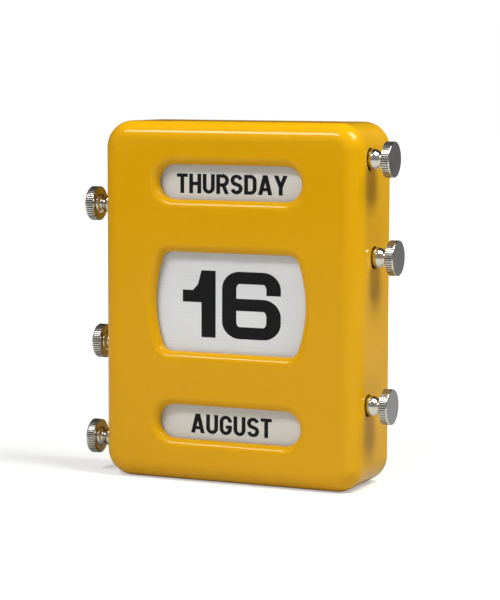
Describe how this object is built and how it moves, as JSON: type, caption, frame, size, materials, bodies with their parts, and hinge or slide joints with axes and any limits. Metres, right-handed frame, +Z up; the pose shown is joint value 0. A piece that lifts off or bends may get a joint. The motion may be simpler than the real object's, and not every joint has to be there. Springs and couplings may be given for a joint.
{
  "type": "perpetual desk calendar",
  "caption": "Enamelled metal desk calendar with three windows; six side knobs wind printed day, date and month bands between rollers.",
  "frame": {"origin": "middle of the object's underside, on the surface that it stands on", "axes": "+X to the right seen from the front, +Y to the back, +Z up"},
  "size_m": [0.15, 0.039, 0.165],
  "materials": {
    "yellow_enamel": "gloss",
    "printed_band": "matte",
    "nickel_plate": "polished",
    "bright_steel": "satin",
    "zinc_plated_steel": "satin",
    "aluminium_core": "satin",
    "brass": "satin"
  },
  "bodies": {
    "case": {"front_shell": "yellow_enamel", "corner_posts": "zinc_plated_steel", "back_plate": "yellow_enamel", "back_plate_screws": "bright_steel", "right_bearing_plate": "zinc_plated_steel", "left_bearing_plate": "zinc_plated_steel", "shaft_bushes": "brass", "drag_washers": "bright_steel", "tie_rods": "zinc_plated_steel", "tie_rod_screws": "bright_steel", "day_platen": "zinc_plated_steel", "day_band": "printed_band", "date_platen": "zinc_plated_steel", "date_band": "printed_band", "month_platen": "zinc_plated_steel", "month_band": "printed_band"},
    "day_upper_roller": {"day_upper_shaft": "bright_steel", "day_upper_core": "aluminium_core", "day_upper_knob": "nickel_plate"},
    "day_lower_roller": {"day_lower_shaft": "bright_steel", "day_lower_core": "aluminium_core", "day_lower_knob": "nickel_plate"},
    "date_upper_roller": {"date_upper_shaft": "bright_steel", "date_upper_core": "aluminium_core", "date_upper_knob": "nickel_plate"},
    "date_lower_roller": {"date_lower_shaft": "bright_steel", "date_lower_core": "aluminium_core", "date_lower_knob": "nickel_plate"},
    "month_upper_roller": {"month_upper_shaft": "bright_steel", "month_upper_core": "aluminium_core", "month_upper_knob": "nickel_plate"},
    "month_lower_roller": {"month_lower_shaft": "bright_steel", "month_lower_core": "aluminium_core", "month_lower_knob": "nickel_plate"}
  },
  "joints": [
    {"name": "day_upper_turn", "type": "hinge", "parent": "case", "child": "day_upper_roller", "pos_m": [0, -0.00575, 0.149], "axis": [1, 0, 0], "range_deg": [-684, 684], "deforming": ["day_band"]},
    {"name": "day_lower_turn", "type": "hinge", "parent": "case", "child": "day_lower_roller", "pos_m": [0, -0.00575, 0.126], "axis": [1, 0, 0], "range_deg": [-684.5, 684.5], "deforming": ["day_band"]},
    {"name": "date_upper_turn", "type": "hinge", "parent": "case", "child": "date_upper_roller", "pos_m": [0, 0.0005, 0.105], "axis": [1, 0, 0], "range_deg": [-5088.7, 5088.7], "deforming": ["date_band"]},
    {"name": "date_lower_turn", "type": "hinge", "parent": "case", "child": "date_lower_roller", "pos_m": [0, 0.0005, 0.0606], "axis": [1, 0, 0], "range_deg": [-5089.2, 5089.2], "deforming": ["date_band"]},
    {"name": "month_upper_turn", "type": "hinge", "parent": "case", "child": "month_upper_roller", "pos_m": [0, -0.00575, 0.039], "axis": [1, 0, 0], "range_deg": [-1569.3, 896.7], "deforming": ["month_band"]},
    {"name": "month_lower_turn", "type": "hinge", "parent": "case", "child": "month_lower_roller", "pos_m": [0, -0.00575, 0.016], "axis": [1, 0, 0], "range_deg": [-1497, 855.6], "deforming": ["month_band"]}
  ],
  "couplings": [
    {"joint": "day_lower_turn", "follows": "day_upper_turn", "ratio": 1},
    {"joint": "date_lower_turn", "follows": "date_upper_turn", "ratio": 1},
    {"joint": "month_lower_turn", "follows": "month_upper_turn", "ratio": 0.9536}
  ]
}
